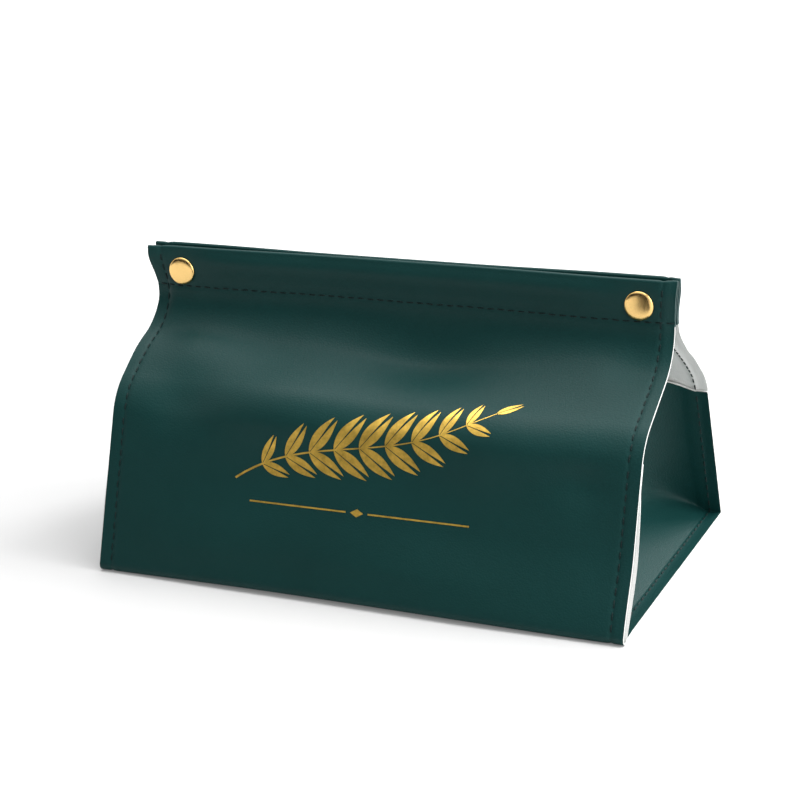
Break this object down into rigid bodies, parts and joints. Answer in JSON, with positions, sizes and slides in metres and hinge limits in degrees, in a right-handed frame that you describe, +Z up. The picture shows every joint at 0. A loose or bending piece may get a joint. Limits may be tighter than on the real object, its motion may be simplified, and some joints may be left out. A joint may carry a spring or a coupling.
{
  "type": "tissue box cover",
  "caption": "Sewn leather tissue box cover with folded ends: two flaps meet in a tall snapped hem, bend outwards to take a pack of tissues, and leave a slot along the top.",
  "frame": {"origin": "middle of the bottom's outer face, on the surface that the cover stands on", "axes": "+X along the cover to the right, -Y towards its front, +Z up"},
  "size_m": [0.24, 0.1406, 0.13],
  "materials": {
    "green_leather": "dark green, fine pebble grain, soft sheen",
    "white_backing": "off-white cloth backing, matt",
    "green_thread": "dark green sewing thread",
    "gold_metal": "polished, gold coloured"
  },
  "bodies": {
    "base": {"wrap_skin": "green_leather", "wrap_backing": "white_backing", "left_gusset_skin": "green_leather", "left_gusset_backing": "white_backing", "left_gusset_thread": "green_thread", "right_gusset_skin": "green_leather", "right_gusset_backing": "white_backing", "right_gusset_thread": "green_thread"},
    "front_flap": {"front_flap_skin": "green_leather", "front_flap_backing": "white_backing", "front_hem_thread": "green_thread", "front_left_edge_thread": "green_thread", "front_right_edge_thread": "green_thread", "left_front_cap": "gold_metal", "left_snap_socket": "gold_metal", "left_socket_ring": "gold_metal", "right_front_cap": "gold_metal", "right_snap_socket": "gold_metal", "right_socket_ring": "gold_metal"},
    "back_flap": {"back_flap_skin": "green_leather", "back_flap_backing": "white_backing", "back_hem_thread": "green_thread", "back_left_edge_thread": "green_thread", "back_right_edge_thread": "green_thread", "left_snap_stud": "gold_metal", "left_back_cap": "gold_metal", "right_snap_stud": "gold_metal", "right_back_cap": "gold_metal"}
  },
  "joints": [
    {"name": "front_flap_hinge", "type": "hinge", "parent": "base", "child": "front_flap", "pos_m": [0, -0.04876, 0.066], "axis": [1, 0, 0], "range_deg": [0, 60], "deforming": ["left_socket_ring", "right_socket_ring"]},
    {"name": "back_flap_hinge", "type": "hinge", "parent": "base", "child": "back_flap", "pos_m": [0, 0.04876, 0.066], "axis": [1, 0, 0], "range_deg": [-60, 0]}
  ],
  "couplings": [
    {"joint": "back_flap_hinge", "follows": "front_flap_hinge", "ratio": -1}
  ]
}
